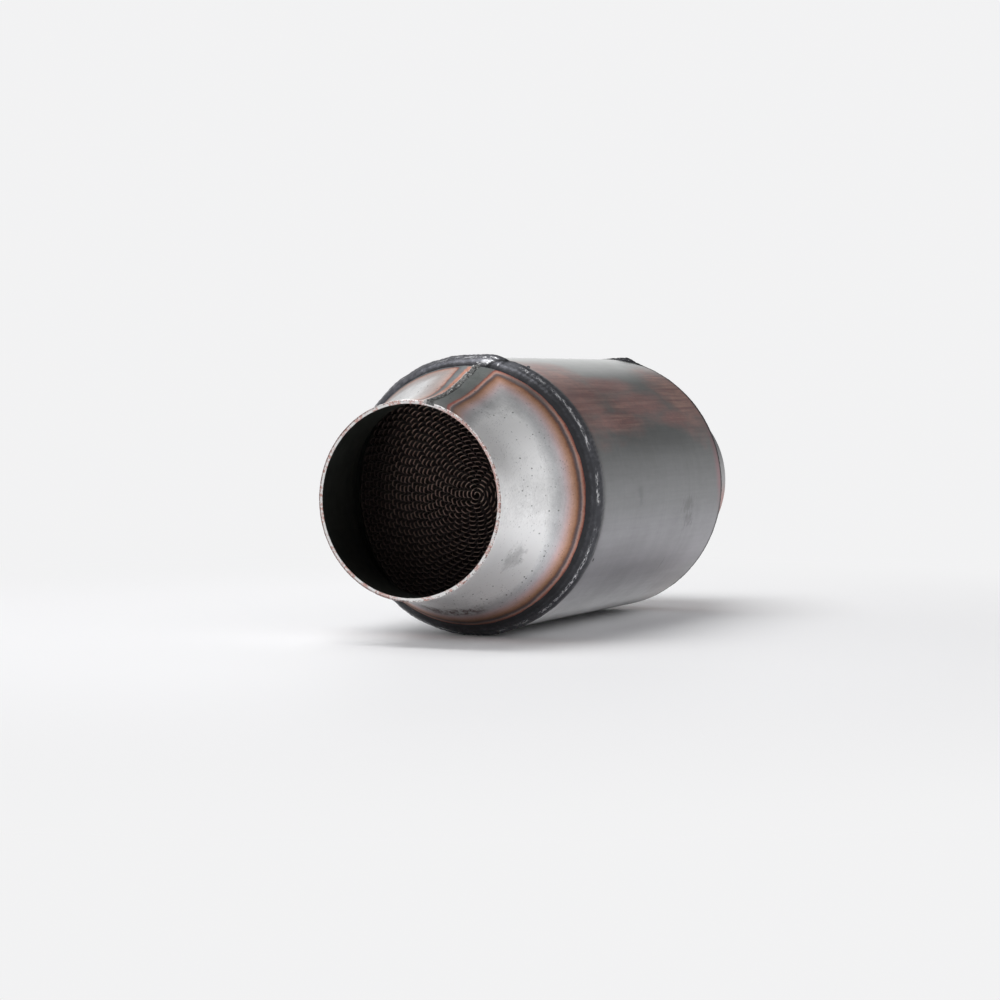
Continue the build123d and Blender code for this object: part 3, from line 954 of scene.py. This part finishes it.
def wind_waves(bore):
    """Angle wound through at each step along the corrugated foil, and its phase in waves."""
    turns, phase = [0.0], [0.0]
    while True:
        turn = turns[-1]
        here, ceiling = flat_radius(turn), min(flat_radius(turn + 2 * math.pi), bore)
        if ceiling - here < least_layer:
            return np.array(turns), np.array(phase)
        swing = 1 + 0.13 * noise.noise(Vector((turn * 0.45, 4.0, 0.0)))
        turns.append(turn + wave_pitch * swing / max((ceiling + here) / 2, 2.2) / steps_to_wave)
        phase.append(phase[-1] + 1 / steps_to_wave)


def build_honeycomb(material):
    """Flat and corrugated foil wound together out to the mantle."""
    bore = mantle_high.z - wall
    turn, phase = wind_waves(bore)
    low = flat_radius(turn) + foil_thickness
    high = np.minimum(flat_radius(turn + 2 * math.pi), bore) - foil_thickness
    wave = np.tanh(wave_sharpness * (np.sin(2 * math.pi * phase) + wave_lift))
    ribbon("foil_corrugated", (low + high) / 2 + wave * (high - low) / 2, turn,
           worn_edge, trough_recess * ((1 - wave) / 2) ** 0.5, material, "corrugated_foil")
    turn = turn[::2]
    last = (bore - foil_thickness - core_radius) / layer_pitch * 2 * math.pi
    turn = np.concatenate([turn, np.arange(turn[-1], last, 0.02)[1:]])
    turn = turn[turn < last]
    recess = flat_foil_recess * np.clip((flat_radius(turn) - 1.2) / 3, 0, 1)
    ribbon("foil_flat", flat_radius(turn), turn, foil_thickness, recess, material, "flat_foil")


inlet_metal = cone_metal("cone_satin_inlet", ring_toe)
build_cone("inlet_cone", inlet_metal, at_outlet=False)
build_burr(inlet_metal)
build_cone("outlet_cone", cone_metal("cone_satin_outlet", outlet_toe, at_outlet=True), at_outlet=True)
build_casing(casing_metal())
spatter_place = turned(casing_start + 6.5, casing_radius + spatter_size / 3, spatter_angle)
build_drop("casing_spatter", spatter_place, spatter_size, ring_scale("spatter_scale"))
for end in ("inlet", "outlet"):
    at_outlet = end == "outlet"
    build_ring_weld(end + "_ring_weld", ring_scale(end + "_ring_scale", at_outlet), at_outlet)
    build_seam_weld(end + "_seam_weld", seam_scale(end + "_seam_scale", at_outlet), at_outlet)
build_honeycomb(foil_metal())
frame["nodes"]["mantle"].material_slots[0].material = mantle_metal()

# ---------------------------------------------------------------- floor, light and camera

BACKGROUND = (0.89, 0.89, 0.896)
floor_reach = 6.0
floor_colour = (0.88, 0.88, 0.89)
fade_starts, fade_ends = 0.16, 0.5

# Brightness of the sky at each height from -1 to 1, on the near side and beyond the outlet
near_sky = [(-0.95, 0.7), (0.0, 0.5), (0.1, 0.58), (0.25, 0.76), (0.42, 0.78), (0.6, 0.54), (0.8, 0.24),
            (0.95, 0.2)]
far_sky = [(-0.95, 0.7), (0.0, 1.0), (0.07, 0.95), (0.13, 0.62), (0.2, 0.28), (0.27, 0.12), (0.45, 0.14),
           (0.7, 0.25), (0.95, 0.2)]
far_sky_starts, far_sky_ends = 0.58, 0.85

# The camera stands so many of these units from the casing's near end
camera_unit = 58.3
camera_place = (-17.455, -8.094, 0.829)
camera_direction = (0.9106, 0.4109, -0.0448)
camera_lens, camera_sensor = 97.66, 36.0


def turn_to(holder, direction):
    """Turns a lamp or camera to look this way, with its top upwards."""
    holder.rotation_euler = direction.to_track_quat("-Z", "Y").to_euler()


def studio_floor():
    """A pale floor that keeps the shadow near the part and fades into the background far away."""
    level = -ring_high.z * MM
    mesh = bpy.data.meshes.new("floor")
    corners = [(x * floor_reach, y * floor_reach, level) for x, y in ((-1, -1), (1, -1), (1, 1), (-1, 1))]
    mesh.from_pydata(corners, [], [(0, 1, 2, 3)])
    material = bpy.data.materials.new("floor_paint")
    m = Nodes(material)
    paint = m.tree.nodes["Principled BSDF"]
    m.fill(paint, {"Base Color": (*floor_colour, 1), "Roughness": 0.7, "Specular IOR Level": 0.2})
    glow = m.node("ShaderNodeEmission", {"Color": (*BACKGROUND, 1)})
    place = m.node("ShaderNodeTexCoord").outputs["Object"]
    off = m.node("ShaderNodeVectorMath", {0: place, 1: (casing_start * MM, 0, level)}, operation="DISTANCE")
    rays = m.node("ShaderNodeLightPath")
    seen = m.most(rays.outputs["Is Camera Ray"], rays.outputs["Is Glossy Ray"])
    share = m.times(m.step(off.outputs["Value"], fade_starts, fade_ends), seen)
    surface = m.blend(share, paint.outputs[0], glow.outputs[0])
    m.fill(m.tree.nodes["Material Output"], {"Surface": surface})
    mesh.materials.append(material)
    put_in_scene("floor", mesh)


def studio_world():
    """Soft light from all round, dim above the far horizon; the camera sees the plain background."""
    world = bpy.data.worlds.new("studio")
    bpy.context.scene.world = world
    m = Nodes(world)
    parts = m.node("ShaderNodeSeparateXYZ", {0: m.node("ShaderNodeTexCoord").outputs["Generated"]})
    height = m.node("ShaderNodeMapRange", {"Value": parts.outputs["Z"], "From Min": -1, "From Max": 1})

    def ramp(stops):
        made = m.node("ShaderNodeValToRGB", {0: height.outputs[0]})
        elements = made.color_ramp.elements
        for place, value in stops:
            elements.new((place + 1) / 2).color = (value, value, value * 1.01, 1)
        elements.remove(elements[0])
        elements.remove(elements[-1])
        return made.outputs[0]

    facing = m.step(parts.outputs["X"], far_sky_starts, far_sky_ends)
    sky = m.tree.nodes["Background"]
    m.fill(sky, {"Color": m.mix(facing, ramp(near_sky), ramp(far_sky))})
    plain = m.node("ShaderNodeBackground", {"Color": (*BACKGROUND, 1)})
    seen = m.node("ShaderNodeLightPath").outputs["Is Camera Ray"]
    m.fill(m.tree.nodes["World Output"], {"Surface": m.blend(seen, sky.outputs[0], plain.outputs[0])})


def soft_light(name, place, target, size, power):
    """An oblong area light at a place, turned to a target, both in metres."""
    lamp = bpy.data.lights.new(name, "AREA")
    lamp.shape = "RECTANGLE"
    lamp.size, lamp.size_y = size
    lamp.energy = power
    holder = put_in_scene(name, lamp)
    holder.location = place
    turn_to(holder, Vector(target) - Vector(place))


def aim_camera():
    """A long lens a metre in front of the mouth, to the right of the axis and a little above it."""
    camera = bpy.data.cameras.new("camera")
    camera.lens, camera.sensor_width = camera_lens, camera_sensor
    holder = put_in_scene("camera", camera)
    holder.location = Vector((casing_start, 0, 0)) * MM + Vector(camera_place) * (camera_unit * MM)
    turn_to(holder, Vector(camera_direction))
    bpy.context.scene.camera = holder


studio_floor()
studio_world()
soft_light("top_light", (-0.1, 0.3, 1.28), (0.1, 0, 0), (0.9, 1.2), 14.5)
soft_light("back_light", (1.7, 0.7, 0.43), (0.05, 0, 0), (0.8, 0.8), 3.5)
aim_camera()
bpy.context.scene.view_settings.view_transform = "Standard"
